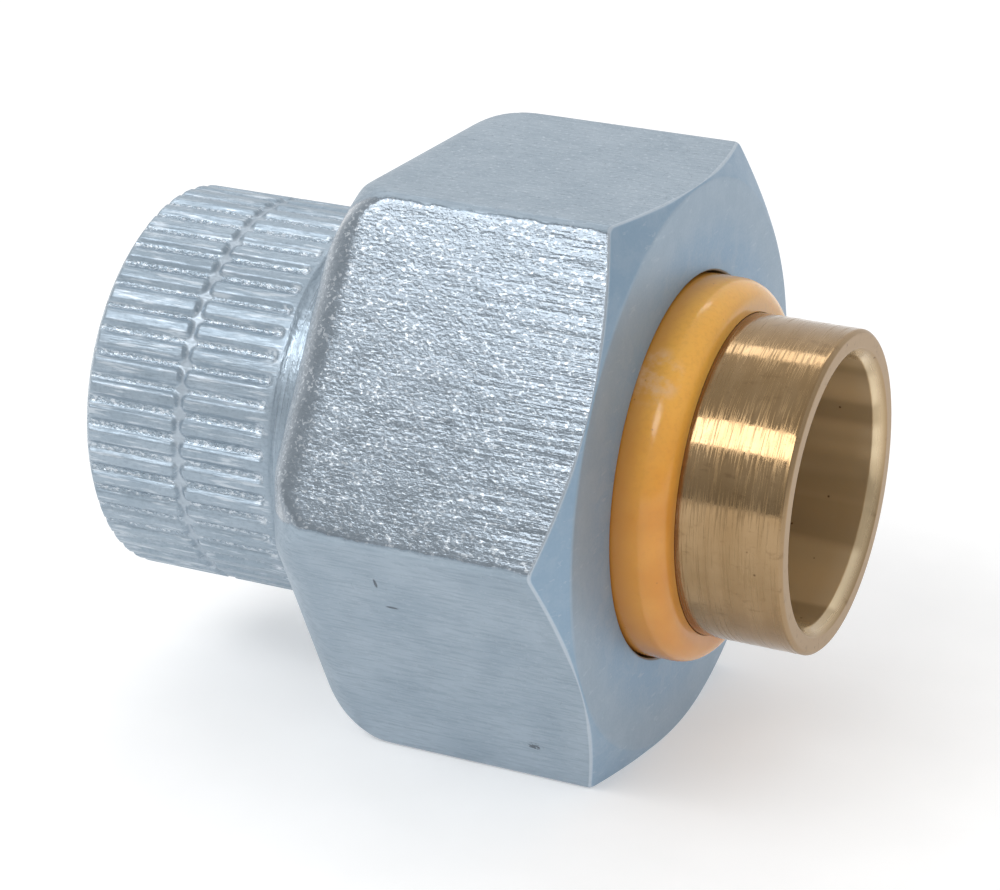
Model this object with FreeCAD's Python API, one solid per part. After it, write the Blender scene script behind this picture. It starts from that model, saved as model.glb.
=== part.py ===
import FreeCAD, Part
import math
import os

V = FreeCAD.Vector

# A 3/4 inch dielectric pipe union, in millimetres. The pipe axis is +X, with the
# threaded steel end at -X and the brass solder end at +X. A flat of the nut faces down.

# Overall
overall_length = 61.1
end_x = overall_length / 2

# Union nut: forged hexagon, drilled, counterbored and threaded from the back
nut_across_flats = 48.0
nut_front_x = 17.3
nut_length = 26.3
nut_back_x = nut_front_x - nut_length
nut_chamfer_r = 23.8            # edge of the flat front face
nut_chamfer_depth = 1.95        # measured along a corner
nut_back_round_length = 4.2     # the flats roll over into the back face
nut_back_round_depth = 3.3
nut_corner_round_length = 6.8   # the corners roll over further than the flats
nut_corner_round_depth = 6.2
nut_wall = 4.0                  # thickness of the front wall
nut_hole_r = 16.2
nut_edge_break = 0.3

# Union thread, 1-9/16 inch by 12 turns an inch, right-handed
union_pitch = 25.4 / 12
union_major_r = 1.5625 * 25.4 / 2
union_depth = 0.625 * math.sqrt(3) / 2 * union_pitch
union_clearance = 0.2           # radial, added to the nut's thread
union_thread_end_x = 7.5

# Steel body
hub_r = 16.72
hub_root_r = 16.27
hub_end_r = 15.82
hub_chamfer_length = 0.7
hub_rib_count = 51
hub_rib_crest_share = 0.42      # of the pitch
hub_rib_root_share = 0.22
groove_x = -21.45
groove_bottom_width = 0.95
collar_x = -12.9
collar_r = 16.5
head_back_x = -7.9
head_front_x = 7.6
head_chamfer = 1.4
seat_x = 6.9                    # floor of the recess that holds the gasket
seat_r = 17.6

# Taper pipe thread, 3/4 inch by 14 turns an inch, in a straight drilled hole
pipe_pitch = 25.4 / 14
pipe_hole_r = 12.1
pipe_hole_depth = 16.5
pipe_thread_length = 15.0
pipe_root_r = 13.28             # at the mouth
pipe_taper = 1 / 32             # on the radius
pipe_countersink = 0.9

# Waterway, gasket, insulating sleeve and tailpiece
waterway_r = 10.2
gasket_thickness = 1.6
gasket_r = 17.4
gasket_hole_r = 10.6
flange_r = 17.4
flange_thickness = 3.3
sleeve_wall_thickness = 1.5     # between the flange and the nut's front wall
sleeve_r = 16.0
sleeve_hole_r = 13.52
sleeve_skirt_r = 18.5
sleeve_skirt_hole_r = 17.65
sleeve_stand_out = 4.3          # how far it stands out of the nut
sleeve_front_r = 14.1
tail_r = 13.42
tail_edge_break = 0.3
cup_r = 11.15
cup_depth = 19.1
cup_mouth_r = 11.89
cup_mouth_length = 0.95

flange_back_x = seat_x + gasket_thickness
flange_front_x = flange_back_x + flange_thickness
wall_back_x = nut_front_x - nut_wall
sleeve_front_x = nut_front_x + sleeve_stand_out
X_AXIS = V(1, 0, 0)
ORIGIN = V(0, 0, 0)


def outline(steps):
    """A closed wire of (x, radius) steps. A step of four numbers is an arc, whose
    first two are a point on the way and whose last two are its end."""
    edges = []
    at = V(steps[0][0], 0, steps[0][1])
    start = at
    for step in steps[1:] + [steps[0]]:
        end = V(step[-2], 0, step[-1])
        if len(step) == 4:
            edges.append(Part.Arc(at, V(step[0], 0, step[1]), end).toShape())
        elif end.distanceToPoint(at) > 1e-7:
            edges.append(Part.LineSegment(at, end).toShape())
        at = end
    assert at.distanceToPoint(start) < 1e-7
    return Part.Wire(edges)


def turned(steps):
    """The solid that a lathe cuts from an outline, round the pipe axis."""
    return Part.Face(outline(steps)).revolve(ORIGIN, X_AXIS, 360)


def bore(r, x_from, x_to):
    return Part.makeCylinder(r, x_to - x_from, V(x_from, 0, 0), X_AXIS)


def cone(r_from, r_to, x_from, x_to):
    return Part.makeCone(r_from, r_to, x_to - x_from, V(x_from, 0, 0), X_AXIS)


def arc_middle(x, r, length, depth):
    """The middle of the arc that leaves a line at (x, r), tangent to it, and falls
    by depth over a length towards -X."""
    radius = (length ** 2 + depth ** 2) / (2 * depth)
    half = math.asin(length / radius) / 2
    return x - radius * math.sin(half), r - radius * (1 - math.cos(half))


def screw_cut(profile, pitch, x_from, length, taper=0.0):
    """A right-hand helical cut along the pipe axis. The profile is a list of
    (distance along the axis, radius) at the cut's start. A tapered cut gets closer
    to the axis by taper for each unit of length."""
    r = sum(p[1] for p in profile) / len(profile)
    helix = Part.makeLongHelix(pitch, length, r, -math.degrees(math.atan(taper)))
    loop = [V(p[1], 0, p[0]) for p in profile]
    section = Part.makePolygon(loop + loop[:1])
    cut = Part.Wire(helix.Edges).makePipeShell([section], True, True)
    cut.rotate(ORIGIN, V(0, 1, 0), 90)
    cut.translate(V(x_from, 0, 0))
    return cut


def thread_profile(open_r, open_width, closed_r, closed_width, overshoot):
    """A trapezoid groove, wide at open_r, that runs past it by overshoot."""
    slope = (open_width - closed_width) / (open_r - closed_r)
    past_r = open_r + math.copysign(overshoot, open_r - closed_r)
    past_width = open_width + slope * (past_r - open_r)
    return [
        (-past_width / 2, past_r),
        (-closed_width / 2, closed_r),
        (closed_width / 2, closed_r),
        (past_width / 2, past_r),
    ]


def make_nut_blank():
    """The hexagon: three slabs whose back edges roll over, meeting at the corners,
    within a turned outline that cuts the corners back at both ends."""
    half = nut_across_flats / 2
    roll_x = nut_back_x + nut_back_round_length
    back = half - nut_back_round_depth
    mid_x, mid_d = arc_middle(roll_x, half, nut_back_round_length, nut_back_round_depth)
    slab_outline = outline([
        (nut_front_x, -half),
        (nut_front_x, half),
        (roll_x, half),
        (mid_x, mid_d, nut_back_x, back),
        (nut_back_x, -back),
        (mid_x, -mid_d, roll_x, -half),
    ])
    slab = Part.Face(slab_outline).extrude(V(0, 2 * nut_across_flats, 0))
    slab.translate(V(0, -nut_across_flats, 0))
    corner_r = nut_across_flats / math.sqrt(3) + 0.04
    corner_x = nut_back_x + nut_corner_round_length
    mid_x, mid_r = arc_middle(corner_x, corner_r, nut_corner_round_length, nut_corner_round_depth)
    blank = turned([
        (nut_back_x, 0),
        (nut_front_x, 0),
        (nut_front_x, nut_chamfer_r),
        (nut_front_x - nut_chamfer_depth, corner_r),
        (corner_x, corner_r),
        (mid_x, mid_r, nut_back_x, corner_r - nut_corner_round_depth),
    ])
    for turn in (0, 60, 120):
        side = slab.copy()
        side.rotate(ORIGIN, X_AXIS, turn)
        blank = blank.common(side)
    return blank


def make_nut():
    minor_r = union_major_r - union_depth + union_clearance
    major_r = union_major_r + union_clearance
    chamber_r = major_r + 0.25
    lead_in = 1.3
    nut = make_nut_blank()
    nut = nut.cut(bore(nut_hole_r, wall_back_x - 1, nut_front_x + 1))
    nut = nut.cut(cone(nut_hole_r, nut_hole_r + 2 * nut_edge_break,
                       nut_front_x - nut_edge_break, nut_front_x + nut_edge_break))
    nut = nut.cut(bore(minor_r, nut_back_x - 1, wall_back_x))
    nut = nut.cut(bore(chamber_r, union_thread_end_x, wall_back_x))
    nut = nut.cut(cone(minor_r + lead_in + 1, minor_r, nut_back_x - 1, nut_back_x + lead_in))
    groove = thread_profile(minor_r, 0.75 * union_pitch, major_r, union_pitch / 8, 0.15)
    start = thread_start_x(nut_back_x, 0.5)
    turns = math.ceil((union_thread_end_x - start) / union_pitch) + 1
    return nut.cut(screw_cut(groove, union_pitch, start, turns * union_pitch))


def thread_start_x(before_x, phase):
    """The last x before before_x where a groove of the union thread, or with a
    phase of 0.5 a ridge, passes straight below the pipe axis."""
    return (math.floor(before_x / union_pitch - phase - 0.5) + phase) * union_pitch


def make_hub_blank():
    """The turned outside of the steel body."""
    rib = hub_r - hub_root_r
    left = groove_x - groove_bottom_width / 2
    right = groove_x + groove_bottom_width / 2
    minor_r = union_major_r - head_chamfer
    return turned([
        (-end_x, 0),
        (-end_x, hub_end_r),
        (-end_x + hub_chamfer_length, hub_r),
        (left - rib, hub_r),
        (left, hub_root_r),
        (right, hub_root_r),
        (right + rib, hub_r),
        (collar_x, hub_r),
        (collar_x, collar_r),
        (head_back_x, collar_r),
        (head_back_x, minor_r),
        (head_back_x + head_chamfer, union_major_r),
        (head_front_x - head_chamfer, union_major_r),
        (head_front_x, minor_r),
        (head_front_x, seat_r),
        (seat_x, seat_r),
        (seat_x, 0),
    ])


def rib_valleys():
    """What the knurling tool takes out between the straight ribs."""
    outer_r = hub_r + 0.2
    slope = (1 - hub_rib_crest_share - hub_rib_root_share) / 2 / (hub_r - hub_root_r)
    outer_share = 1 - hub_rib_crest_share + 2 * slope * (outer_r - hub_r)
    points = []
    step = 2 * math.pi / hub_rib_count
    for n in range(hub_rib_count):
        for share, r in ((-outer_share, outer_r), (-hub_rib_root_share, hub_root_r),
                         (hub_rib_root_share, hub_root_r), (outer_share, outer_r)):
            a = (n + share / 2) * step
            points.append(V(-end_x - 1, r * math.cos(a), r * math.sin(a)))
    core = Part.Face(Part.makePolygon(points + points[:1]))
    length = collar_x + end_x + 1
    return bore(outer_r + 1, -end_x - 1, collar_x).cut(core.extrude(V(length, 0, 0)))


def make_body():
    body = make_hub_blank().cut(bore(waterway_r, -end_x, seat_x + 1))
    hole_end_x = -end_x + pipe_hole_depth
    body = body.cut(bore(pipe_hole_r, -end_x - 1, hole_end_x))
    body = body.cut(cone(pipe_hole_r, waterway_r, hole_end_x, hole_end_x + 1))
    body = body.cut(cone(pipe_hole_r + pipe_countersink + 1, pipe_hole_r,
                         -end_x - 1, -end_x + pipe_countersink))
    groove = thread_profile(union_major_r, 0.875 * union_pitch,
                            union_major_r - union_depth, union_pitch / 4, 0.15)
    start = thread_start_x(head_back_x, 0)
    turns = math.ceil((head_front_x - start) / union_pitch) + 1
    body = body.cut(screw_cut(groove, union_pitch, start, turns * union_pitch))
    width = 2 * (pipe_root_r - pipe_hole_r) * math.tan(math.radians(30)) + 0.07
    groove = thread_profile(pipe_hole_r, width, pipe_root_r, 0.07, 0.04)
    start = -end_x - pipe_pitch
    body = body.cut(screw_cut(groove, pipe_pitch, start, pipe_thread_length, pipe_taper))
    return body.cut(rib_valleys())


def make_gasket():
    return turned([
        (seat_x, gasket_hole_r),
        (flange_back_x, gasket_hole_r),
        (flange_back_x, gasket_r),
        (seat_x, gasket_r),
    ])


def make_sleeve():
    """The insulator: a skirt round the tailpiece's flange, a washer under the nut's
    front wall, and a ring that lines the nut's hole and stands out of it."""
    straight_x = nut_front_x + sleeve_stand_out / 2
    mid_x = sleeve_front_x - 0.6
    mid_r = (sleeve_r + sleeve_front_r) / 2 + 0.25
    return turned([
        (flange_back_x + 0.4, sleeve_skirt_hole_r),
        (flange_back_x + 0.4, sleeve_skirt_r),
        (wall_back_x, sleeve_skirt_r),
        (wall_back_x, sleeve_r),
        (straight_x, sleeve_r),
        (mid_x, mid_r, sleeve_front_x, sleeve_front_r),
        (sleeve_front_x, sleeve_hole_r),
        (flange_front_x, sleeve_hole_r),
        (flange_front_x, sleeve_skirt_hole_r),
    ])


def make_tailpiece():
    """The brass tube with its flange and its solder cup."""
    edge = tail_edge_break
    stop_x = end_x - cup_depth
    return turned([
        (flange_back_x, waterway_r),
        (flange_back_x, flange_r - edge),
        (flange_back_x + edge, flange_r),
        (flange_front_x - edge, flange_r),
        (flange_front_x, flange_r - edge),
        (flange_front_x, tail_r),
        (end_x - edge, tail_r),
        (end_x, tail_r - edge),
        (end_x, cup_mouth_r),
        (end_x - cup_mouth_length, cup_r),
        (stop_x, cup_r),
        (stop_x, waterway_r),
    ])


def one_solid(name, shape):
    """The shape's only solid, or an error that names the part."""
    solids = shape.Solids
    if len(solids) != 1 or not solids[0].isValid():
        raise ValueError(f"{name}: {len(solids)} solids, valid: {shape.isValid()}")
    return solids[0]


PARTS = {
    "threaded_body": make_body,
    "gasket": make_gasket,
    "insulating_sleeve": make_sleeve,
    "union_nut": make_nut,
    "solder_tailpiece": make_tailpiece,
}

os.makedirs("parts", exist_ok=True)
for name, make in PARTS.items():
    solid = one_solid(name, make())
    solid.exportStep(f"parts/{name}.step")
    box = solid.BoundBox
    print(f"{name:20s} {solid.Volume:10.1f} mm3  {len(solid.Faces):4d} faces  "
          f"x {box.XMin:7.2f} {box.XMax:7.2f}  y {box.YMin:7.2f} {box.YMax:7.2f}  "
          f"z {box.ZMin:7.2f} {box.ZMax:7.2f}")
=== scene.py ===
import math
from types import SimpleNamespace

import bmesh
import bpy
import numpy as np
from mathutils import Matrix, Vector


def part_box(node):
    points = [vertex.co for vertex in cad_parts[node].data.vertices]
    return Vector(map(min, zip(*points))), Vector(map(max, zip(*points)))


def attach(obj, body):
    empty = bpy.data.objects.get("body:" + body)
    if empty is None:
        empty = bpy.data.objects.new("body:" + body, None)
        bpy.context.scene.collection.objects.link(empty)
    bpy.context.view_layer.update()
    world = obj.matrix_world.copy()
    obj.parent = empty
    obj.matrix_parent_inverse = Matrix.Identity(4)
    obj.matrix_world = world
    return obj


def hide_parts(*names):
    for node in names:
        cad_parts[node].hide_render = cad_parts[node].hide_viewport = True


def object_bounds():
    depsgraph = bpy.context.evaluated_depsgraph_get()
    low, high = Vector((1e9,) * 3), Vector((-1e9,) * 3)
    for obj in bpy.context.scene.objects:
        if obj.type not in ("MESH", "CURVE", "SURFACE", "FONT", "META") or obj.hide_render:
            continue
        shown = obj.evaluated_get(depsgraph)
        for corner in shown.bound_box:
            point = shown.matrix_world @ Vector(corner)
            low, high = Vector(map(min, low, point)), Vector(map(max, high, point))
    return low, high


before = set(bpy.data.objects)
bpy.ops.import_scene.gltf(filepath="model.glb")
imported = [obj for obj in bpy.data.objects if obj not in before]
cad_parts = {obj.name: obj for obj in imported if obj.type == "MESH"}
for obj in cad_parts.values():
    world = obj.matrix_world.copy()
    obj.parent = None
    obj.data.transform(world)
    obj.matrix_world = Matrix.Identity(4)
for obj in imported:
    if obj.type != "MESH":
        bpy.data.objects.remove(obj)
cad_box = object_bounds()

# A dielectric pipe union. Lengths are in millimetres, apart from those of the floor, the
# lights and the camera, which are in metres. The pipe axis is X, and turns are measured
# right-handed about it, from straight down.
MM = 0.001
INCH = 25.4
FULL_TURN = 2 * math.pi
HALF_FLAT = math.pi / 6         # half the angle that a flat of the nut takes up
WELD = 0.0001
SHARP_ANGLE = math.radians(38)


def span(node, axis):
    """Where a CAD node begins and ends along an axis."""
    low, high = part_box(node)
    return low[axis] / MM, high[axis] / MM


body_back, body_front = span("threaded_body", 0)
nut_back, nut_front = span("union_nut", 0)
sleeve_back, sleeve_front = span("insulating_sleeve", 0)
tail_back, tail_front = span("solder_tailpiece", 0)
gasket_back, gasket_front = span("gasket", 0)
gasket_r = span("gasket", 2)[1]
flat_r = span("union_nut", 2)[1]
skirt_r = span("insulating_sleeve", 2)[1]
flange_r = span("solder_tailpiece", 2)[1]

# Union thread
union_pitch = INCH / 12
union_major_r = 1.5625 * INCH / 2
union_depth = 0.625 * math.sqrt(3) / 2 * union_pitch
union_clearance = 0.2

# Steel body
hub_r = 16.72
hub_root_r = 16.27
hub_end_r = 15.82
hub_chamfer = 0.7
rib_count = 51
rib_crest_share = 0.40
rib_columns = 16                # columns of the mesh for each rib
rib_flank = 0.55                # width of the slope from a crest down to a valley
rib_width_spread = 0.06         # the ribs' differences in width and depth, as shares
rib_depth_spread = 0.08
rib_width_seed = 3
rib_depth_seed = 5
valley_end = 0.3                # how far before the collar the valleys end
groove_x = -21.45
groove_half = 0.52
collar_x = -12.9
collar_r = 16.5
step_back = collar_x - 0.2      # the smooth step from the hub down to the collar
step_front = collar_x + 0.6
head_back = -7.9
head_chamfer = 1.4
seat_r = 17.6
waterway_r = 10.2

# Taper pipe thread
pipe_pitch = INCH / 14
pipe_hole_r = 12.1
pipe_hole_end = body_back + 16.5
pipe_thread_end = body_back + 13.2
pipe_root_r = 13.28
pipe_root_half = 0.035          # half the width of the groove's flat bottom
pipe_mouth_half = 0.04          # half the width of its mouth where it has faded out
pipe_taper = 1 / 32
pipe_flank = math.radians(30)
pipe_countersink = 0.9

# Nut
nut_edge_r = 1.0                # rounding of the six edges
nut_chamfer_r = 23.8
nut_chamfer_depth = 1.95
nut_corner_r = flat_r / math.cos(HALF_FLAT) + 0.04
nut_roll = (4.2, 3.3)           # length and depth of the flats' rolled back edge
nut_corner_roll = (6.8, 6.2)    # the same for the corners
nut_roll_blend = 0.3
nut_edge_softness = 0.32
nut_hole_r = 16.2
nut_hole_break = 0.15
nut_wall_back = nut_front - 4.0
nut_thread_front = 7.5
nut_chamber_gap = 0.25          # the chamber in front of the thread is this much wider
nut_lead_in = 1.3               # depth of the chamfer at the thread's mouth
nut_face_r = 20.0               # a ring in the middle of the front face
nut_flat_columns = 59           # columns of the mesh across a flat, and round an edge
nut_edge_columns = 4

# Sleeve, tailpiece and gasket
sleeve_r = 16.0
sleeve_hole_r = 13.52
sleeve_lip_r = 13.45            # the hole's last millimetre is a closer fit
sleeve_lip = 1.0
sleeve_lip_slope = 0.2
sleeve_front_r = 14.1
skirt_hole_r = 17.65
tail_r = 13.42
tail_chamfer = 0.28
flange_front = 11.8
cup_r = 11.15
cup_stop = tail_front - 19.1
cup_mouth_r = 11.89
cup_mouth_depth = 0.95
gasket_hole_r = gasket_r - 6.8
round_columns = 288
gasket_columns = 192


# Surfaces made ring by ring round the pipe axis

def even_turns(count):
    return np.arange(count) * FULL_TURN / count


def ring(x, r, turns):
    """The points at x and r, which are numbers or hold one for each turn."""
    x = np.broadcast_to(x, turns.shape)
    r = np.broadcast_to(r, turns.shape)
    return np.stack([x, r * np.sin(turns), -r * np.cos(turns)], axis=1)


def rings(path, turns):
    return [ring(x, r, turns) for x, r in path]


def strips(loops):
    """The surface through a list of rings. A ring may have a whole number of times
    the points of its neighbour."""
    faces = []
    start = 0
    for near, far in zip(loops, loops[1:]):
        sides = min(len(near), len(far))
        near_step = len(near) // sides
        far_step = len(far) // sides
        middle = start + len(near)
        for n in range(sides):
            a = [start + (n * near_step + k) % len(near) for k in range(near_step + 1)]
            b = [middle + (n * far_step + k) % len(far) for k in range(far_step + 1)]
            faces.append(a + b[::-1])
        start = middle
    return np.concatenate(loops), faces


def soften(corners, closed):
    """A path through (x, r, softness) corners, each turned into a small curve that
    starts softness before the corner. A guard point on each side keeps the shading
    of the straights flat."""
    guard = 0.12
    steps = 5
    path = []
    count = len(corners)
    for n, (x, r, softness) in enumerate(corners):
        here = np.array((x, r))
        if softness == 0 or not closed and n in (0, count - 1):
            path.append(here)
            continue
        sides = []
        for other in (corners[n - 1], corners[(n + 1) % count]):
            away = np.array(other[:2]) - here
            length = np.linalg.norm(away)
            sides.append((away / length, length))
        (back, back_length), (ahead, ahead_length) = sides
        reach = min(softness, 0.45 * back_length, 0.45 * ahead_length)
        if reach + guard < 0.5 * back_length:
            path.append(here + back * (reach + guard))
        for s in np.linspace(0, 1, steps):
            path.append(here + back * reach * (1 - s) ** 2 + ahead * reach * s ** 2)
        if reach + guard < 0.5 * ahead_length:
            path.append(here + ahead * (reach + guard))
    return path


def lathe(corners, turns):
    """A solid turned from a closed outline, whose outside runs towards +X."""
    path = soften(corners, closed=True)
    return strips(rings(path + path[:1], turns))


def thread(x_from, x_to, pitch, start_x, groove, limit, turns, inside):
    """A screw thread between two planes, as (points, faces), and its end rings.
    groove(x) gives the (offset, radius) points across one turn of the groove whose
    middle is at x. A groove's middle is at start_x straight below the axis."""
    share = np.append(turns, turns[0] + FULL_TURN) / FULL_TURN
    spare = 2
    first = math.floor((x_from - start_x) / pitch) - spare
    last = math.ceil((x_to - start_x) / pitch) + spare
    xs = []
    rs = []
    for n in range(first, last):
        middle = start_x + (n + share) * pitch
        for offset, r in groove(middle):
            xs.append(middle + offset)
            rs.append(np.broadcast_to(r, middle.shape))
    xs = np.array(xs)
    rs = np.array(rs)
    clipped = np.clip(xs, x_from, x_to)
    for c in range(len(share)):
        rs[:, c] = np.interp(clipped[:, c], xs[:, c], rs[:, c])
    rs = limit(clipped, rs)
    around = np.append(turns, turns[0])
    loops = [ring(x, r, around) for x, r in zip(clipped, rs)]
    width = len(around)
    moved = np.diff(clipped, axis=0) > 0
    faces = []
    for row, column in zip(*np.nonzero(moved[:, :-1] | moved[:, 1:])):
        a = row * width + column
        face = [a, a + 1, a + 1 + width, a + width]
        faces.append(face[::-1] if inside else face)
    return (np.concatenate(loops), faces), loops[0][:-1], loops[-1][:-1]


def union_groove(mouth, bottom, mouth_r, bottom_r):
    """The outline of one turn of the union thread's groove, for thread. Its mouth and
    its bottom are this many pitches to each side of its middle."""
    slope = (mouth + bottom) / 2, (mouth_r + bottom_r) / 2
    half = [(bottom, bottom_r), slope, (mouth, mouth_r)]
    outline = [(-share, r) for share, r in half[::-1]] + half + [(0.5, mouth_r)]
    return [(share * union_pitch, r) for share, r in outline]


def make_piece(name, patches, body, finish):
    """One welded mesh that stands for the CAD node of the same name."""
    points = np.concatenate([p for p, _ in patches]) * MM
    faces = []
    start = 0
    for p, patch_faces in patches:
        faces += [[start + k for k in face] for face in patch_faces]
        start += len(p)
    mesh = bpy.data.meshes.new(name + "_skin")
    mesh.from_pydata(points.tolist(), [], faces)
    work = bmesh.new()
    work.from_mesh(mesh)
    bmesh.ops.remove_doubles(work, verts=work.verts, dist=WELD * MM)
    bmesh.ops.recalc_face_normals(work, faces=work.faces)
    work.to_mesh(mesh)
    work.free()
    mesh.shade_smooth()
    mesh.set_sharp_from_angle(angle=SHARP_ANGLE)
    mesh.materials.append(finish)
    piece = bpy.data.objects.new(name + "_skin", mesh)
    bpy.context.scene.collection.objects.link(piece)
    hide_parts(name)
    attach(piece, body)


# The steel body

def uneven(count, seed):
    """One random number from -1 to 1 for each rib, the same on each run."""
    return np.random.default_rng(seed).uniform(-1, 1, count)


def beyond_corner(a, b, r):
    """How far a point is outside a rounded corner, from its distances to two sides."""
    outside = np.hypot(np.maximum(a + r, 0), np.maximum(b + r, 0))
    return outside + np.minimum(np.maximum(a + r, b + r), 0) - r


def hub_radius(x, turns):
    """The knurled hub: smooth crests with pressed, round-bottomed valleys between
    them. Crests end in noses at the groove, and valleys in scoops at the collar."""
    pitch = FULL_TURN * hub_r / rib_count
    ribs_round = (turns - math.pi / 2) / FULL_TURN * rib_count
    rib = np.round(ribs_round).astype(int) % rib_count
    wider = 1 + rib_width_spread * uneven(rib_count, rib_width_seed)[rib]
    valley_half = pitch * (1 - rib_crest_share) / 2 * wider
    crest_half = pitch / 2 - valley_half
    across = np.abs(ribs_round - np.round(ribs_round)) * pitch
    past_groove = groove_half - abs(x - groove_x)
    past_valleys = x - collar_x + valley_end
    nose = beyond_corner(valley_half - across, past_groove, 0.5 * crest_half)
    scoop = -beyond_corner(across - valley_half, past_valleys, 0.9 * valley_half)
    if x > groove_x + 3 * groove_half:
        nose = np.minimum(nose, scoop)
    cut = np.clip(nose / rib_flank, 0, 1)
    deeper = rib_depth_spread * uneven(rib_count, rib_depth_seed)[rib]
    depth = (hub_r - hub_root_r) * (1 - rib_depth_spread + deeper)
    return hub_r - depth * (0.5 * np.sin(cut * math.pi / 2) + 0.25 * (1 - np.cos(cut * math.pi)))


def hub_rings(turns):
    """Rings from the hub's end face to the foot of the step down to the collar."""
    chamfer_end = body_back + hub_chamfer
    end_path = soften([
        (body_back, hub_end_r - 0.4, 0),
        (body_back, hub_end_r, 0.12),
        (chamfer_end, hub_r, 0.2),
        (chamfer_end + 0.6, hub_r, 0),
    ], closed=False)
    loops = [ring(x, np.minimum(r, hub_radius(x, turns)), turns) for x, r in end_path]
    # From, to and how many rings: they are closest at the groove and before the collar
    stretches = (
        (end_path[-1][0] + 0.5, groove_x - 2, 9),
        (groove_x - 1.6, groove_x + 1.6, 25),
        (groove_x + 2.1, collar_x - 1.8, 9),
        (collar_x - 1.55, collar_x - 0.1, 11),
    )
    for x_from, x_to, count in stretches:
        loops += [ring(x, hub_radius(x, turns), turns) for x in np.linspace(x_from, x_to, count)]
    for s in np.linspace(0, 1, 6)[1:]:
        fall = (hub_r - collar_r) * s * s * (3 - 2 * s)
        loops.append(ring(step_back + (step_front - step_back) * s, hub_r - fall, turns))
    return loops


def head_thread(turns):
    """The male union thread on the head, chamfered at both ends."""
    outline = union_groove(7 / 16, 1 / 8, union_major_r, union_major_r - union_depth)
    end_r = union_major_r - head_chamfer

    def groove(x):
        return outline

    def chamfered(x, r):
        return np.minimum(r, end_r + np.minimum(x - head_back, body_front - x))

    return thread(head_back, body_front, union_pitch, 0, groove, chamfered, turns, inside=False)


def hub_thread(turns):
    """The taper pipe thread inside the hub, which fades out at its inner end."""
    start = body_back - pipe_pitch

    def groove(x):
        depth = pipe_root_r - pipe_taper * (x - start) - pipe_hole_r
        depth = depth * np.clip((pipe_thread_end - x) / pipe_pitch, 0, 1)
        root_r = pipe_hole_r + depth
        half = pipe_mouth_half + depth * math.tan(pipe_flank)
        return [(-half, pipe_hole_r), (-pipe_root_half, root_r), (pipe_root_half, root_r),
                (half, pipe_hole_r), (pipe_pitch / 2, pipe_hole_r)]

    def countersunk(x, r):
        return np.maximum(r, pipe_hole_r + pipe_countersink - (x - body_back))

    return thread(body_back, pipe_hole_end, pipe_pitch, start, groove, countersunk, turns,
                  inside=True)


def body_patches():
    """The whole steel end. The hub's ribs need four times the columns of the rest."""
    fine = even_turns(rib_count * rib_columns)
    coarse = fine[::4]
    outer_thread, head_start, head_end = head_thread(coarse)
    inner_thread, mouth, bottom = hub_thread(coarse)
    end_face = [mouth, ring(body_back, pipe_root_r + 0.3, coarse),
                ring(body_back, hub_end_r - 0.6, coarse)]
    collar = rings(soften([
        (step_front + 0.2, collar_r, 0),
        (head_back, collar_r, 0.2),
        (head_back, collar_r + 0.6, 0),
    ], closed=False), coarse)
    inner = rings(soften([
        (body_front, seat_r + 0.4, 0),
        (body_front, seat_r, 0.12),
        (gasket_back, seat_r, 0.1),
        (gasket_back, waterway_r, 0.15),
        (pipe_hole_end + 1, waterway_r, 0.2),
        (pipe_hole_end, pipe_hole_r, 0),
    ], closed=False), coarse)
    return [
        strips(end_face + hub_rings(fine) + collar + [head_start]),
        outer_thread,
        strips([head_end] + inner[:-1] + [bottom]),
        inner_thread,
    ]


# The nut

def rolled(x, start_x, roll):
    """How far a surface that rolls over from start_x towards -X has fallen."""
    length, depth = roll
    radius = (length ** 2 + depth ** 2) / (2 * depth)
    gone = np.clip(start_x - x, 0, length)
    return radius - np.sqrt(radius ** 2 - gone ** 2)


def hexagon(distance, turns):
    """The radius of a hexagon with rounded corners, at a distance to its flats."""
    off = np.abs((turns + HALF_FLAT) % (2 * HALF_FLAT) - HALF_FLAT)
    centre = (distance - nut_edge_r) / math.cos(HALF_FLAT)
    sideways = centre * np.sin(HALF_FLAT - off)
    along = np.sqrt(np.maximum(nut_edge_r ** 2 - sideways ** 2, 0))
    arc = centre * np.cos(HALF_FLAT - off) + along
    tangent = np.arctan((distance - nut_edge_r) * math.tan(HALF_FLAT) / distance)
    return np.where(off > tangent, arc, distance / np.cos(off))


def smooth_min(a, b, width):
    """The smaller of two numbers, blended where they differ by less than width."""
    h = np.clip(0.5 + 0.5 * (b - a) / width, 0, 1)
    return b + (a - b) * h - width * h * (1 - h)


def nut_turns():
    """Columns that are close together round the six edges, worked out in degrees."""
    half_flat = 30
    edge = math.degrees(math.atan((flat_r - nut_edge_r) * math.tan(HALF_FLAT) / flat_r))
    flat = np.linspace(-edge, edge, nut_flat_columns)
    bend = np.linspace(edge, half_flat, nut_edge_columns)[1:-1]
    sector = np.concatenate([[-half_flat], -bend[::-1], flat, bend])
    return np.radians(np.concatenate([sector + 2 * half_flat * n for n in range(6)]))


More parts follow.
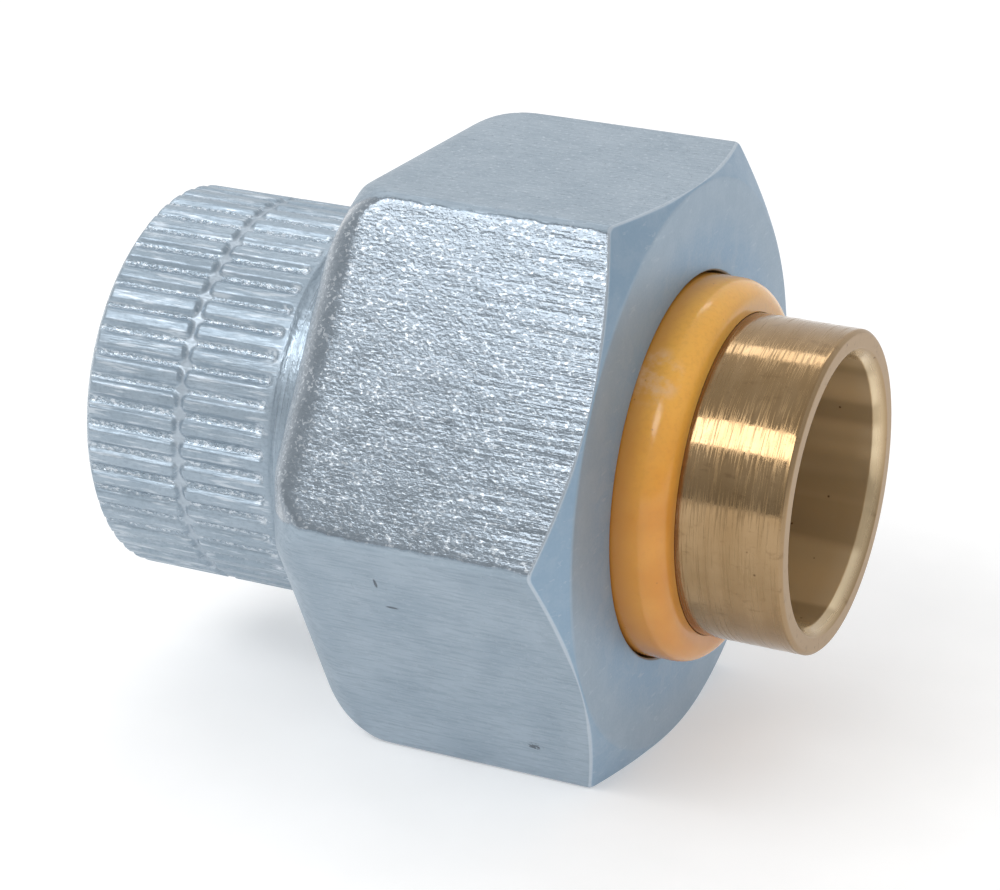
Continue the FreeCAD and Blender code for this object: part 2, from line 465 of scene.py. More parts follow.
def nut_outside(turns):
    """Rings from the back face, over the rolled edge and the flats, to the chamfer."""
    guard = 0.1
    corner_x = nut_back + nut_corner_roll[0]
    loops = []
    for t in np.linspace(0, math.pi / 2, 26):
        x = nut_back + nut_corner_roll[0] * (1 - math.cos(t))
        flats = hexagon(flat_r - rolled(x, nut_back + nut_roll[0], nut_roll), turns)
        limit = nut_corner_r - rolled(x, corner_x, nut_corner_roll)
        loops.append(ring(x, smooth_min(flats, limit, nut_roll_blend), turns))
    side = hexagon(flat_r, turns)
    slope = (nut_corner_r - nut_chamfer_r) / nut_chamfer_depth
    edge_x = nut_front - (side - nut_chamfer_r) / slope
    reach = np.hypot(nut_front - edge_x, side - nut_chamfer_r)
    soft = np.minimum(nut_edge_softness, 0.4 * reach)
    along_x = (nut_front - edge_x) / reach
    along_r = (nut_chamfer_r - side) / reach
    for s in np.linspace(0, 1, 18)[1:]:
        loops.append(ring(corner_x + (edge_x - soft - guard - corner_x) * s, side, turns))
    for s in np.linspace(0, 1, 6):
        loops.append(ring(edge_x - soft * (1 - s) ** 2 + along_x * soft * s ** 2,
                          side + along_r * soft * s ** 2, turns))
    for s in (0.15, 0.5, 0.85):
        from_edge = soft + (reach - 2 * soft) * s
        loops.append(ring(edge_x + along_x * from_edge, side + along_r * from_edge, turns))
    for s in np.linspace(0, 1, 6):
        r = nut_chamfer_r - along_r * soft * (1 - s) ** 2 - soft * s ** 2
        loops.append(ring(nut_front - along_x * soft * (1 - s) ** 2, r, turns))
    return loops


def nut_thread(turns):
    """The female union thread, with a lead-in at the back of the nut."""
    major = union_major_r + union_clearance
    minor = major - union_depth
    outline = union_groove(3 / 8, 1 / 16, minor, major)

    def groove(x):
        return outline

    def opened(x, r):
        return np.maximum(r, minor + nut_lead_in - (x - nut_back))

    return thread(nut_back, nut_thread_front, union_pitch, union_pitch / 2, groove, opened,
                  turns, inside=True)


def nut_patches():
    turns = nut_turns()
    major = union_major_r + union_clearance
    chamber_r = major + nut_chamber_gap
    inner_thread, back_ring, front_ring = nut_thread(turns)
    hole = rings(soften([
        (nut_front, nut_face_r, 0),
        (nut_front, nut_hole_r + nut_hole_break, 0.06),
        (nut_front - nut_hole_break, nut_hole_r, 0.06),
        (nut_wall_back, nut_hole_r, 0.08),
        (nut_wall_back, chamber_r, 0.15),
        (nut_thread_front, chamber_r, 0.1),
        (nut_thread_front, major, 0),
    ], closed=False), turns)
    return [
        strips([back_ring] + nut_outside(turns) + hole[:-1] + [front_ring]),
        inner_thread,
    ]


# The sleeve, the tailpiece and the gasket

def sleeve_patches():
    shoulder_x = (nut_front + sleeve_front) / 2
    bulge = []
    for s in np.linspace(0, 1, 13)[1:-1]:
        a = s * math.pi / 2
        bulge.append((shoulder_x + (sleeve_front - shoulder_x) * math.sin(a),
                      sleeve_front_r + (sleeve_r - sleeve_front_r) * math.cos(a), 0))
    lip_back = sleeve_front - sleeve_lip
    return [lathe([
        (sleeve_back, skirt_hole_r, 0.08),
        (sleeve_back, skirt_r, 0.12),
        (nut_wall_back, skirt_r, 0.1),
        (nut_wall_back, sleeve_r, 0.15),
        (shoulder_x - 0.4, sleeve_r, 0),
        (shoulder_x, sleeve_r, 0),
        *bulge,
        (sleeve_front, sleeve_front_r, 0.08),
        (sleeve_front, sleeve_lip_r, 0.04),
        (lip_back, sleeve_lip_r, 0.05),
        (lip_back - sleeve_lip_slope, sleeve_hole_r, 0.05),
        (flange_front, sleeve_hole_r, 0.1),
        (flange_front, skirt_hole_r, 0.1),
    ], even_turns(round_columns))]


def tail_patches():
    return [lathe([
        (tail_back, waterway_r, 0.15),
        (tail_back, flange_r, 0.3),
        (flange_front, flange_r, 0.3),
        (flange_front, tail_r, 0.1),
        (tail_front - tail_chamfer, tail_r, 0.12),
        (tail_front, tail_r - tail_chamfer, 0.12),
        (tail_front, cup_mouth_r, 0.08),
        (tail_front - cup_mouth_depth, cup_r, 0.15),
        (cup_stop, cup_r, 0.12),
        (cup_stop, waterway_r, 0.1),
    ], even_turns(round_columns))]


def gasket_patches():
    return [lathe([
        (gasket_back, gasket_r, 0.25),
        (gasket_front, gasket_r, 0.25),
        (gasket_front, gasket_hole_r, 0.15),
        (gasket_back, gasket_hole_r, 0.15),
    ], even_turns(gasket_columns))]


# Finishes

class Finish:
    """A procedural material. Sizes of patterns are in millimetres."""

    def __init__(self, name):
        self.material = bpy.data.materials.new(name)
        self.material.use_nodes = True
        self.tree = self.material.node_tree
        self.shader = self.tree.nodes["Principled BSDF"]
        coordinates = self.node("ShaderNodeTexCoord").outputs
        self.place = coordinates["Object"]
        parts = self.node("ShaderNodeSeparateXYZ", Vector=self.place).outputs
        self.x, self.y, self.z = parts["X"], parts["Y"], parts["Z"]
        flat = self.node("ShaderNodeCombineXYZ", Y=self.y, Z=self.z).outputs[0]
        length = self.node("ShaderNodeVectorMath", {"operation": "LENGTH"}, Vector=flat)
        self.r = length.outputs["Value"]
        normal_parts = self.node("ShaderNodeSeparateXYZ", Vector=coordinates["Normal"])
        self.facing_end = self.math("ABSOLUTE", normal_parts.outputs["X"])

    def node(self, kind, settings=None, **inputs):
        node = self.tree.nodes.new(kind)
        for key, value in (settings or {}).items():
            setattr(node, key, value)
        for key, value in inputs.items():
            self.feed(node.inputs[key], value)
        return node

    def feed(self, socket, value):
        if isinstance(value, bpy.types.NodeSocket):
            self.tree.links.new(value, socket)
        else:
            socket.default_value = value

    def math(self, operation, a, b=0.0):
        node = self.node("ShaderNodeMath", {"operation": operation})
        self.feed(node.inputs[0], a)
        self.feed(node.inputs[1], b)
        return node.outputs[0]

    def both(self, *shares):
        """The product of two or more shares."""
        product = shares[0]
        for share in shares[1:]:
            product = self.math("MULTIPLY", product, share)
        return product

    def blend(self, *weighted):
        """A sum of (weight, value) pairs."""
        total = 0.0
        for weight, value in weighted:
            total = self.math("ADD", total, self.math("MULTIPLY", value, weight))
        return total

    def stretched(self, x=1, y=1):
        """Coordinates for a pattern drawn out along an axis whose number is under 1."""
        node = self.node("ShaderNodeVectorMath", {"operation": "MULTIPLY"})
        self.feed(node.inputs[0], self.place)
        self.feed(node.inputs[1], (x, y, 1))
        return node.outputs[0]

    def turned(self, wander=0.02):
        """Coordinates that hardly change round the pipe axis, for lathe marks."""
        around = self.math("MULTIPLY", self.math("ADD", self.y, self.z), wander)
        return self.node("ShaderNodeCombineXYZ", X=self.x, Y=self.r, Z=around).outputs[0]

    def flat_distance(self, turn):
        """The distance of a point from the pipe axis, square to the pair of flats that
        faces this many degrees from straight down."""
        a = math.radians(turn)
        along = self.blend((math.sin(a), self.y), (-math.cos(a), self.z))
        return self.math("ABSOLUTE", along)

    def noise(self, size, place=None, detail=3.0, roughness=0.55, distortion=0.0):
        return self.node("ShaderNodeTexNoise", Vector=place or self.place, Scale=1 / (size * MM),
                         Detail=detail, Roughness=roughness, Distortion=distortion).outputs["Fac"]

    def creases(self, size, place):
        """Sharp irregular ridges between smooth dents."""
        field = self.noise(size, place, detail=2.0, distortion=0.6)
        off = self.math("ABSOLUTE", self.math("SUBTRACT", field, 0.5))
        return self.fade(off, 0.0, 0.12)

    def specks(self, size):
        """The distance to scattered points, in shares of size."""
        return self.node("ShaderNodeTexVoronoi", Vector=self.place,
                         Scale=1 / (size * MM)).outputs["Distance"]

    def spot(self, middle, half_sizes):
        """A share that is 1 in a small patch round a point and fades at its edge."""
        off = self.node("ShaderNodeVectorMath", {"operation": "SUBTRACT"})
        self.feed(off.inputs[0], self.place)
        self.feed(off.inputs[1], [c * MM for c in middle])
        scaled = self.node("ShaderNodeVectorMath", {"operation": "DIVIDE"})
        self.feed(scaled.inputs[0], off.outputs[0])
        self.feed(scaled.inputs[1], [c * MM for c in half_sizes])
        away = self.node("ShaderNodeVectorMath", {"operation": "LENGTH"}, Vector=scaled.outputs[0])
        return self.fade(away.outputs["Value"], 0.6, 1.1)

    def between(self, value, low, high, start=0.0, end=1.0):
        """A number that goes smoothly from start to end as the value passes low and high."""
        node = self.node("ShaderNodeMapRange", {"interpolation_type": "SMOOTHSTEP"})
        for key, number in (("Value", value), ("From Min", low), ("From Max", high),
                            ("To Min", start), ("To Max", end)):
            self.feed(node.inputs[key], number)
        return node.outputs["Result"]

    def fade(self, value, low, high):
        """A share that goes smoothly from 1 to 0 as the value passes low and high."""
        return self.between(value, low, high, 1.0, 0.0)

    def over(self, length, low, high):
        """A share that is 0 below low and 1 above high, which are in millimetres."""
        return self.between(length, low * MM, high * MM)

    def under(self, length, low, high):
        """A share that is 1 below low and 0 above high, which are in millimetres."""
        return self.fade(length, low * MM, high * MM)

    def opposite(self, share):
        return self.math("SUBTRACT", 1.0, share)

    def mix(self, share, a, b):
        """A number between a and b."""
        node = self.node("ShaderNodeMix", {"data_type": "FLOAT"})
        for index, value in ((0, share), (2, a), (3, b)):
            self.feed(node.inputs[index], value)
        return node.outputs[0]

    def tint(self, share, a, b):
        """A colour between a and b, which are RGB or a socket."""
        node = self.node("ShaderNodeMix", {"data_type": "RGBA"})
        for index, value in ((0, share), (6, a), (7, b)):
            self.feed(node.inputs[index], (*value, 1) if isinstance(value, tuple) else value)
        return node.outputs[2]

    def coats(self, colour, *coats):
        """A colour with (share, colour) coats laid over it in turn."""
        for share, coat in coats:
            colour = self.tint(share, colour, coat)
        return colour

    def bump(self, height, depth, under=None):
        node = self.node("ShaderNodeBump", Height=height, Distance=depth * MM)
        if under is not None:
            self.feed(node.inputs["Normal"], under)
        return node.outputs["Normal"]

    def done(self, colour, roughness, normal, **plain):
        """Feeds the shader. Keywords are its other sockets, with _ for a space."""
        self.feed(self.shader.inputs["Base Color"], colour)
        self.feed(self.shader.inputs["Roughness"], roughness)
        self.feed(self.shader.inputs["Normal"], normal)
        for key, value in plain.items():
            self.feed(self.shader.inputs[key.replace("_", " ")], value)
        return self.material


# Zinc, the marks on it, and painted glints, highlights, light and shade
ZINC_DARK = (0.22, 0.28, 0.34)
ZINC = (0.315, 0.39, 0.46)
ZINC_PALE = (0.37, 0.445, 0.515)
FROST_DARK = (0.185, 0.22, 0.255)
FROST = (0.226, 0.266, 0.308)
FROST_PALE = (0.62, 0.67, 0.72)
SPECKLE = (0.52, 0.59, 0.66)
FACE_INNER = (0.25, 0.40, 0.57)
FACE_OUTER = (0.32, 0.425, 0.53)
CHAMFER = (0.275, 0.40, 0.53)
SMUDGE = (0.40, 0.50, 0.60)
SCRATCH = (0.52, 0.60, 0.68)
PAINTED_EDGE_HIGHLIGHT = (0.58, 0.65, 0.72)
ZINC_STAIN = (0.12, 0.15, 0.18)
NICK = (0.09, 0.11, 0.13)
GLINT = (0.74, 0.80, 0.86)
GROOVE_PAINTED_LIGHT = (0.62, 0.68, 0.74)
CREST_STREAK = (0.66, 0.72, 0.78)

# Brass outside, and the solder cup's colours, which hold painted light and painted reflection
# bands
BRASS = (0.325, 0.212, 0.106)
BRASS_PALE = (0.375, 0.252, 0.134)
BRASS_BAND = (0.285, 0.18, 0.085)
BRASS_MARK = (0.20, 0.13, 0.055)
BRASS_END = (0.385, 0.262, 0.145)
BRASS_STAIN = (0.19, 0.115, 0.055)
BRASS_SPECK = (0.16, 0.095, 0.045)
CUP_PAINTED_LIGHT = (0.80, 0.61, 0.36)
CUP_MOUTH_PAINTED_LIGHT = (0.86, 0.69, 0.45)
CUP_REFLECTION_BAND = (0.46, 0.34, 0.19)

# Nylon
NYLON = (0.76, 0.31, 0.040)
NYLON_PALE = (0.86, 0.39, 0.065)
NYLON_PAINTED_LIGHT_TOP = (1.0, 0.52, 0.09)
NYLON_PAINTED_SHADE_LOW = (0.58, 0.245, 0.055)
NYLON_SHADE_NEAR_NUT = (0.50, 0.20, 0.045)
NYLON_MOTTLE = (0.66, 0.28, 0.055)
NYLON_PALE_PATCH = (0.86, 0.58, 0.37)
NYLON_SPECK = (0.36, 0.15, 0.04)

# Rubber and the floor
RUBBER = (0.018, 0.018, 0.019)
DUST = (0.05, 0.05, 0.05)
PAPER = (0.80, 0.80, 0.80)
PAPER_PALE = (0.82, 0.82, 0.82)

# Single marks: the middle and the half sizes of each
UPRIGHT_NICK = (1.4, -25.4, -4.0), (0.13, 0.4, 0.7)
LEVEL_NICK = (2.2, -24.0, -6.5), (0.6, 0.12, 0.15)
PITTED_SPOT = (11.4, -16.2, -19.9), (0.8, 0.5, 0.5)
STAINED_SPOT = (6.1, -22.5, 9.0), (0.45, 0.3, 0.45)
PALE_PATCH_SPOT = (18.6, -11.0, 11.4), (2.2, 2.6, 3.0)


def nut_zones(f):
    """Shares that are 1 on one part of the nut. Opposite flats are alike."""
    zones = SimpleNamespace()
    zones.in_front = f.over(f.x, nut_front - 6, nut_front - 4)
    zones.turned = f.both(f.between(f.facing_end, 0.45, 0.75), zones.in_front)
    zones.off_back = f.over(f.x, nut_back + 0.2, nut_back + 0.8)
    smooth_pair = f.flat_distance(-60)
    streaky_pair = f.flat_distance(0)
    frosted_pair = f.flat_distance(60)
    lead = f.math("SUBTRACT", frosted_pair, f.math("MAXIMUM", smooth_pair, streaky_pair))
    wobble = f.math("MULTIPLY", f.math("SUBTRACT", f.noise(1.6, detail=4.0), 0.5), 0.9 * MM)
    from_edge = f.math("ADD", lead, wobble)
    above_roll = f.math("ADD", frosted_pair, wobble)
    zones.patch = f.both(f.over(from_edge, 0.15, 0.4),
                         f.over(above_roll, flat_r - 2.05, flat_r - 1.8))
    zones.frost = f.both(zones.patch, zones.off_back, f.opposite(zones.turned))
    # over_roll: where the frost over the rolled edge is painted paler as painted light
    zones.over_roll = f.under(frosted_pair, flat_r - 1.9, flat_r - 0.1)
    ahead = f.math("SUBTRACT", streaky_pair, f.math("MAXIMUM", smooth_pair, frosted_pair))
    zones.streaky = f.over(ahead, -0.1, 0.4)
    return zones


def nut_nicks(f):
    pits = f.between(f.noise(0.35, detail=2.0), 0.46, 0.56)
    nicks = f.math("MAXIMUM", f.spot(*UPRIGHT_NICK), f.both(f.spot(*PITTED_SPOT), pits))
    return f.math("MAXIMUM", nicks, f.spot(*LEVEL_NICK))


def nut_relief(f, zones, streaks, grain, clusters, nicks):
    """The normal on the forged flats, the turned front and the nicks."""
    pits = f.between(f.noise(0.5, roughness=0.7), 0.30, 0.42)
    coarse_streaks = f.noise(0.7, f.stretched(x=0.07))
    near_front = f.over(f.x, 2, nut_front)
    frosted = f.math("ADD", f.blend((0.33, grain), (0.20, streaks), (0.70, clusters)),
                     f.both(near_front, coarse_streaks))
    plain = f.blend((0.22, streaks), (0.07, grain), (0.25, pits))
    streaky = f.blend((0.65, streaks), (0.45, grain), (0.8, pits))
    forged = f.bump(f.mix(zones.frost, f.mix(zones.streaky, plain, streaky), frosted), 0.085)
    turned = f.bump(f.noise(0.3, f.turned()), 0.010)
    either = f.node("ShaderNodeMix", {"data_type": "VECTOR"})
    for index, value in ((0, zones.turned), (4, forged), (5, turned)):
        f.feed(either.inputs[index], value)
    return f.bump(f.opposite(nicks), 0.12, either.outputs[1])


def turned_colour(f):
    """The front face, bluer near its hole and darker there as painted shade from the sleeve,
    smudged and scratched, and the chamfer.
    """
    on_face = f.between(f.facing_end, 0.92, 0.98)
    scratches = f.between(f.noise(0.5, f.stretched(y=0.25), detail=4.0, roughness=0.7), 0.60, 0.68)
    smudges = f.between(f.noise(2.6, detail=5.0, roughness=0.65, distortion=0.5), 0.40, 0.66)
    return f.coats(
        CHAMFER,
        # darker towards the hole as painted shade from the sleeve, and bluer there as the zinc's
        # tone
        (on_face, f.tint(f.over(f.r, 17, 22.5), FACE_INNER, FACE_OUTER)),
        (f.both(smudges, 0.35), SMUDGE),
        (f.both(scratches, 0.35), SCRATCH))


def nut_colour(f, zones, streaks, grain, clusters, nicks):
    clouds = f.noise(6.0)
    glitter = f.noise(0.30, f.stretched(x=0.75), detail=1.5, distortion=0.4)
    speckle = f.both(f.opposite(zones.frost), f.between(glitter, 0.58, 0.70),
                     f.mix(zones.streaky, 0.15, 0.6))
    # dents: the low spots of the frost's bump, darkened below as painted shade
    dents = f.between(f.blend((0.6, grain), (0.4, clusters)), 0.40, 0.58, 0.45, 0.05)
    painted_glints = f.both(zones.frost, f.between(glitter, 0.55, 0.66),
                    f.between(clusters, 0.36, 0.62, 0.3, 1.0))
    seam = f.both(zones.patch, f.opposite(zones.patch), f.opposite(zones.turned), 3.2)
    # rim: the softened front edges of the flats and chamfer, where a highlight is painted
    rim = f.both(f.between(f.facing_end, 0.12, 0.3), f.fade(f.facing_end, 0.65, 0.85),
                 zones.in_front)
    return f.coats(
        f.tint(f.between(clouds, 0.3, 0.7), ZINC, ZINC_PALE),
        (f.between(streaks, 0.42, 0.68, 0.0, 0.35), ZINC_DARK),
        (f.both(zones.frost, 0.85), FROST),
        # painted light: the frost over the rolled back edge is painted paler where it would be in
        # shade
        (f.both(zones.frost, zones.over_roll, 0.85), FROST_PALE),
        (speckle, SPECKLE),
        # painted shade in the frost's dents
        (f.both(zones.frost, dents), FROST_DARK),
        # painted glints: bright specks painted into the frost's colour
        (f.both(painted_glints, 0.75), FROST_PALE),
        (f.math("MINIMUM", seam, 0.8), ZINC_DARK),
        (f.both(f.spot(*STAINED_SPOT), grain), ZINC_STAIN),
        (f.both(zones.turned, 0.9), turned_colour(f)),
        # painted highlight: a pale line along the front edges of the flats and chamfer
        (f.both(rim, 0.6), PAINTED_EDGE_HIGHLIGHT),
        # painted shade along the nut's back edge, next to the collar
        (f.both(f.opposite(zones.off_back), 0.7), ZINC_DARK),
        (f.both(nicks, 0.85), NICK))


def nut_finish():
    """Zinc on a forged hexagon. One pair of flats is crinkled like frost, one has fine
    marks along the pipe axis, and one is smooth. The front and the chamfer are turned."""
    f = Finish("zinc_nut")
    zones = nut_zones(f)
    nicks = nut_nicks(f)
    streaks = f.noise(0.24, f.stretched(x=0.10), detail=4.0, roughness=0.6)
    grain = f.noise(0.26, f.stretched(x=0.8), detail=2.0, roughness=0.5, distortion=0.3)
    clusters = f.noise(2.2, detail=4.0, roughness=0.65)
    colour = nut_colour(f, zones, streaks, grain, clusters, nicks)
    normal = nut_relief(f, zones, streaks, grain, clusters, nicks)
    roughness = f.mix(zones.frost, f.between(streaks, 0.3, 0.7, 0.40, 0.50),
                      f.between(clusters, 0.35, 0.65, 0.14, 0.24))
    forged_metal = f.mix(zones.frost, 0.62, f.mix(zones.over_roll, 0.52, 0.2))
    metal = f.mix(zones.turned, forged_metal, 0.42)
    return f.done(colour, roughness, normal, Metallic=metal)


def body_finish():
    """Zinc on the knurled hub: smooth crests, rough valleys, and lathe marks on the
    collar and the head. Glints are painted in the valleys and at their ends, the groove is painted
    paler as painted light against its shade, and the crests have pale streaks along them."""
    f = Finish("zinc_body")
    in_valley = f.under(f.r, hub_root_r + 0.03, hub_root_r + 0.20)
    on_hub = f.both(f.under(f.x, collar_x - 0.2, collar_x + 0.1),
                    f.over(f.r, hub_root_r - 0.6, hub_root_r - 0.2))
    from_groove = f.math("ABSOLUTE", f.math("SUBTRACT", f.x, groove_x * MM))
    off_groove = f.over(from_groove, 0.45, 0.7)
    rough_part = f.both(in_valley, on_hub, off_groove)
    in_groove = f.both(in_valley, on_hub, f.opposite(off_groove))
    on_crest = f.both(on_hub, f.opposite(in_valley))
    by_collar = f.both(f.over(f.x, collar_x - 1.7, collar_x - 1.1),
                       f.under(f.x, collar_x - 0.5, collar_x - 0.2),
                       f.under(f.r, hub_r - 0.2, hub_r - 0.02))

    grain = f.noise(0.26, f.stretched(x=0.7), detail=4.0, roughness=0.7)
    crinkles = f.creases(0.5, f.stretched(x=0.6))
    streaks = f.noise(0.2, f.stretched(x=0.12))
    lathe_marks = f.noise(0.22, f.turned())
    lathe_lines = f.noise(0.42, f.turned(0.35), detail=2.0)
    glitter = f.noise(0.26, f.stretched(x=0.6), detail=1.5, distortion=0.4)
    clouds = f.noise(4.0)

    painted_glints = f.both(rough_part, f.between(glitter, 0.50, 0.62))
    # painted glints at the valleys' ends by the collar
    end_glints = f.both(by_collar, f.between(glitter, 0.42, 0.55))
    crest_streaks = f.both(on_crest, f.between(f.noise(0.28, f.stretched(x=0.09)), 0.55, 0.66))
    colour = f.coats(
        f.tint(f.between(clouds, 0.3, 0.7), ZINC, ZINC_PALE),
        (f.between(grain, 0.45, 0.65, 0.0, 0.4), ZINC_DARK),
        # painted glints in the valleys and at their ends
        (f.both(f.math("MAXIMUM", painted_glints, end_glints), 0.7), GLINT),
        # painted light: the groove is painted paler to lift the shade in it
        (f.both(in_groove, 0.35), GROOVE_PAINTED_LIGHT),
        # pale streaks along the crests
        (f.both(crest_streaks, 0.55), CREST_STREAK))
    smooth_roughness = f.mix(on_hub, f.between(lathe_marks, 0.35, 0.65, 0.24, 0.46),
                             f.between(streaks, 0.3, 0.7, 0.34, 0.50))
    roughness = f.mix(rough_part, smooth_roughness, f.between(grain, 0.3, 0.7, 0.2, 0.34))
    smooth_height = f.mix(on_hub, f.blend((1.1, lathe_lines), (0.5, lathe_marks)),
                          f.both(streaks, 0.5))
    rough_height = f.blend((0.7, grain), (0.35, crinkles))
    normal = f.bump(f.mix(rough_part, smooth_height, rough_height), 0.075)
    return f.done(colour, roughness, normal, Metallic=0.62)


def brass_finish():
    """Turned brass, bright outside, with a paler faced end and a duller cup whose colour holds
    painted light, more of it by the mouth, and painted reflection bands.
    """
    f = Finish("turned_brass")
    marks = f.noise(0.14, f.turned(0.03), roughness=0.65)
    bands = f.noise(1.1, f.turned(0.05), detail=2.0)
    clouds = f.noise(3.5, detail=4.0)
    stains = f.between(f.noise(0.9, f.stretched(x=0.5), detail=5.0, roughness=0.7), 0.55, 0.70)
    off_specks = f.between(f.specks(2.4), 0.02, 0.06)
    inside = f.under(f.r, cup_r + 0.1, cup_mouth_r + 0.1)
    at_end = f.both(f.between(f.facing_end, 0.3, 0.7), f.opposite(inside))
    near_mouth = f.over(f.x, tail_front - 3.0, tail_front - 0.9)
    # painted reflection bands inside the cup
    cup_reflection_bands = f.between(f.noise(4.5, f.stretched(x=0.04), detail=1.0), 0.42, 0.56, 0.75, 0.0)
    colour = f.coats(
        f.tint(f.between(clouds, 0.3, 0.7), BRASS, BRASS_PALE),
        (f.between(bands, 0.35, 0.65, 0.0, 0.4), BRASS_BAND),
        (f.between(marks, 0.55, 0.66, 0.0, 0.2), BRASS_MARK),
        (at_end, BRASS_END),
        # painted light inside the cup against its shade, paler still by the lit mouth
        (inside, f.tint(near_mouth, CUP_PAINTED_LIGHT, CUP_MOUTH_PAINTED_LIGHT)),
        # painted reflection bands inside the cup
        (f.both(inside, cup_reflection_bands), CUP_REFLECTION_BAND),
        (f.mix(inside, f.both(stains, 0.45), 0.0), BRASS_STAIN),
        (f.opposite(off_specks), BRASS_SPECK))
    roughness = f.mix(inside, f.between(marks, 0.42, 0.66, 0.06, 0.36),
                      f.between(clouds, 0.3, 0.7, 0.15, 0.25))
    roughness = f.mix(at_end, roughness, 0.4)
    metal = f.mix(inside, 1.0, 0.55)
    normal = f.bump(marks, 0.0035)
    normal = f.bump(clouds, 0.02, normal)
    normal = f.bump(off_specks, 0.010, normal)
    return f.done(colour, roughness, normal, Metallic=metal, Coat_Weight=0.08, Coat_Roughness=0.1)


def nylon_finish():
    """Glossy moulded nylon, a little cloudy, with painted light above and painted shade below and
    next to the nut.
    """
    f = Finish("orange_nylon")
    clouds = f.noise(5.0, detail=2.0)
    skin = f.noise(0.7, detail=2.0)
    off_specks = f.between(f.specks(1.7), 0.02, 0.07)
    mottle = f.between(f.noise(0.45, detail=4.0, roughness=0.7), 0.45, 0.65)
    near_nut = f.under(f.x, nut_front + 0.2, nut_front + 2.2)
    pale_patch = f.both(f.spot(*PALE_PATCH_SPOT),
                   f.between(f.noise(1.6, detail=5.0, roughness=0.6), 0.36, 0.68))
    colour = f.coats(
        f.tint(f.between(clouds, 0.3, 0.7), NYLON, NYLON_PALE),
        # painted light on the top, painted shade underneath
        (f.both(f.over(f.z, 1, 13), 0.8), NYLON_PAINTED_LIGHT_TOP),
        (f.both(f.under(f.z, -14, 13), 0.5), NYLON_PAINTED_SHADE_LOW),
        # painted shade next to the nut
        (f.both(near_nut, 0.55), NYLON_SHADE_NEAR_NUT),
        (f.both(mottle, 0.2), NYLON_MOTTLE),
        # a pale mottled patch on one side of the sleeve
        (f.both(pale_patch, 0.6), NYLON_PALE_PATCH),
        (f.both(f.opposite(off_specks), 0.6), NYLON_SPECK))
    roughness = f.between(skin, 0.3, 0.7, 0.12, 0.22)
    normal = f.bump(skin, 0.008)
    normal = f.bump(clouds, 0.05, normal)
    return f.done(colour, roughness, normal, Subsurface_Weight=0.12, Subsurface_Scale=0.0008)


def rubber_finish():
    """Black rubber with a little dust."""
    f = Finish("black_rubber")
    skin = f.noise(0.4, detail=4.0)
    dust = f.noise(3.0)
    colour = f.tint(f.between(dust, 0.4, 0.75), RUBBER, DUST)
    return f.done(colour, f.between(skin, 0.3, 0.7, 0.6, 0.8), f.bump(skin, 0.02))


# Floor, light and camera, in metres
floor_half_side = 6.0
softbox_distance = 0.7
camera_place = (0.10665, -0.23593, 0.09858)
camera_azimuth = math.radians(24.25)
camera_dip = math.radians(21.10)
camera_roll = math.radians(1.29)
camera_lens = 118.14
camera_sensor = 36


def floor_finish():
    """Near-white paper that glows a little, so that it stays pale to its far edge."""
    f = Finish("floor")
    paper = f.noise(6.0, detail=4.0)
    colour = f.tint(f.between(paper, 0.3, 0.7), PAPER, PAPER_PALE)
    return f.done(colour, 0.9, f.bump(paper, 0.05), Specular_IOR_Level=0.1,
                  Emission_Color=(1, 1, 1, 1), Emission_Strength=0.3)


def make_floor():
    mesh = bpy.data.meshes.new("floor")
    side = floor_half_side
    z = cad_box[0].z
    corners = [(x, y, z) for x, y in ((-side, -side), (side, -side), (side, side), (-side, side))]
    mesh.from_pydata(corners, [], [(0, 1, 2, 3)])
    mesh.materials.append(floor_finish())
    floor = bpy.data.objects.new("floor", mesh)
    bpy.context.scene.collection.objects.link(floor)


def direction(azimuth, elevation):
    """A unit vector. Azimuth 0 is towards -Y and 90 towards +X, in degrees."""
    a = math.radians(azimuth)
    e = math.radians(elevation)
    return Vector((math.sin(a) * math.cos(e), -math.cos(a) * math.cos(e), math.sin(e)))


def make_softbox(name, azimuth, elevation, width, height, brightness):
    """A rectangular light that faces the object. Its power follows from how bright
    its surface looks."""
    data = bpy.data.lights.new(name, "AREA")
    data.shape = "RECTANGLE"
    data.size = width
    data.size_y = height
    data.energy = brightness * math.pi * width * height
    light = bpy.data.objects.new(name, data)
    towards = direction(azimuth, elevation)
    light.location = towards * softbox_distance
    light.rotation_euler = towards.to_track_quat("Z", "Y").to_euler()
    bpy.context.scene.collection.objects.link(light)


def make_lights():
    make_softbox("key", azimuth=-28, elevation=45.5, width=0.62, height=0.205, brightness=4.8)
    make_softbox("rim", azimuth=-143, elevation=57.5, width=0.60, height=0.11, brightness=2.4)


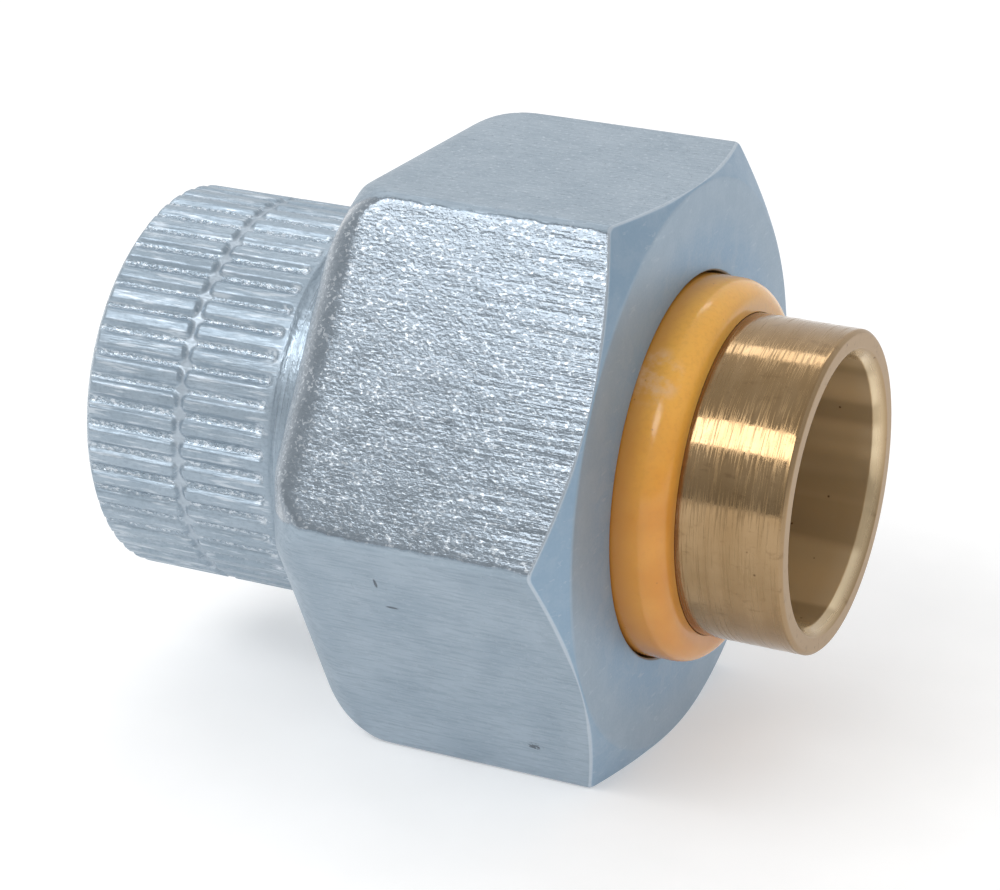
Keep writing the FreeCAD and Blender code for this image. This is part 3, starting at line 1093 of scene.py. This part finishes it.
def make_world():
    """A grey room, lighter above, with a bright wall behind the object."""
    world = bpy.data.worlds.new("studio")
    bpy.context.scene.world = world
    world.use_nodes = True
    tree = world.node_tree

    def ranged(value, low, high, dark, bright):
        node = tree.nodes.new("ShaderNodeMapRange")
        node.interpolation_type = "SMOOTHSTEP"
        tree.links.new(value, node.inputs["Value"])
        for key, number in (("From Min", low), ("From Max", high),
                            ("To Min", dark), ("To Max", bright)):
            node.inputs[key].default_value = number
        return node

    place = tree.nodes.new("ShaderNodeTexCoord").outputs["Generated"]
    parts = tree.nodes.new("ShaderNodeSeparateXYZ")
    tree.links.new(place, parts.inputs[0])
    wall = tree.nodes.new("ShaderNodeVectorMath")
    wall.operation = "DOT_PRODUCT"
    tree.links.new(place, wall.inputs[0])
    wall.inputs[1].default_value = direction(azimuth=-157, elevation=10)
    grey = ranged(parts.outputs["Z"], low=0.0, high=0.6, dark=0.42, bright=0.64)
    room = ranged(wall.outputs["Value"], low=0.1, high=0.9, dark=0.0, bright=0.95)
    tree.links.new(grey.outputs["Result"], room.inputs["To Min"])
    tree.links.new(room.outputs["Result"], tree.nodes["Background"].inputs["Color"])


def make_camera():
    data = bpy.data.cameras.new("camera")
    data.sensor_width = camera_sensor
    data.lens = camera_lens
    data.clip_start = 0.01
    camera = bpy.data.objects.new("camera", data)
    turn = Matrix.Rotation(camera_azimuth, 4, "Z")
    tilt = Matrix.Rotation(math.pi / 2 - camera_dip, 4, "X")
    roll = Matrix.Rotation(camera_roll, 4, "Z")
    camera.matrix_world = Matrix.Translation(camera_place) @ turn @ tilt @ roll
    bpy.context.scene.collection.objects.link(camera)
    bpy.context.scene.camera = camera


make_piece("threaded_body", body_patches(), "steel_end", body_finish())
make_piece("gasket", gasket_patches(), "steel_end", rubber_finish())
make_piece("insulating_sleeve", sleeve_patches(), "sleeve", nylon_finish())
make_piece("union_nut", nut_patches(), "nut", nut_finish())
make_piece("solder_tailpiece", tail_patches(), "tail", brass_finish())
make_floor()
make_lights()
make_world()
make_camera()
bpy.context.scene.view_settings.view_transform = "Standard"
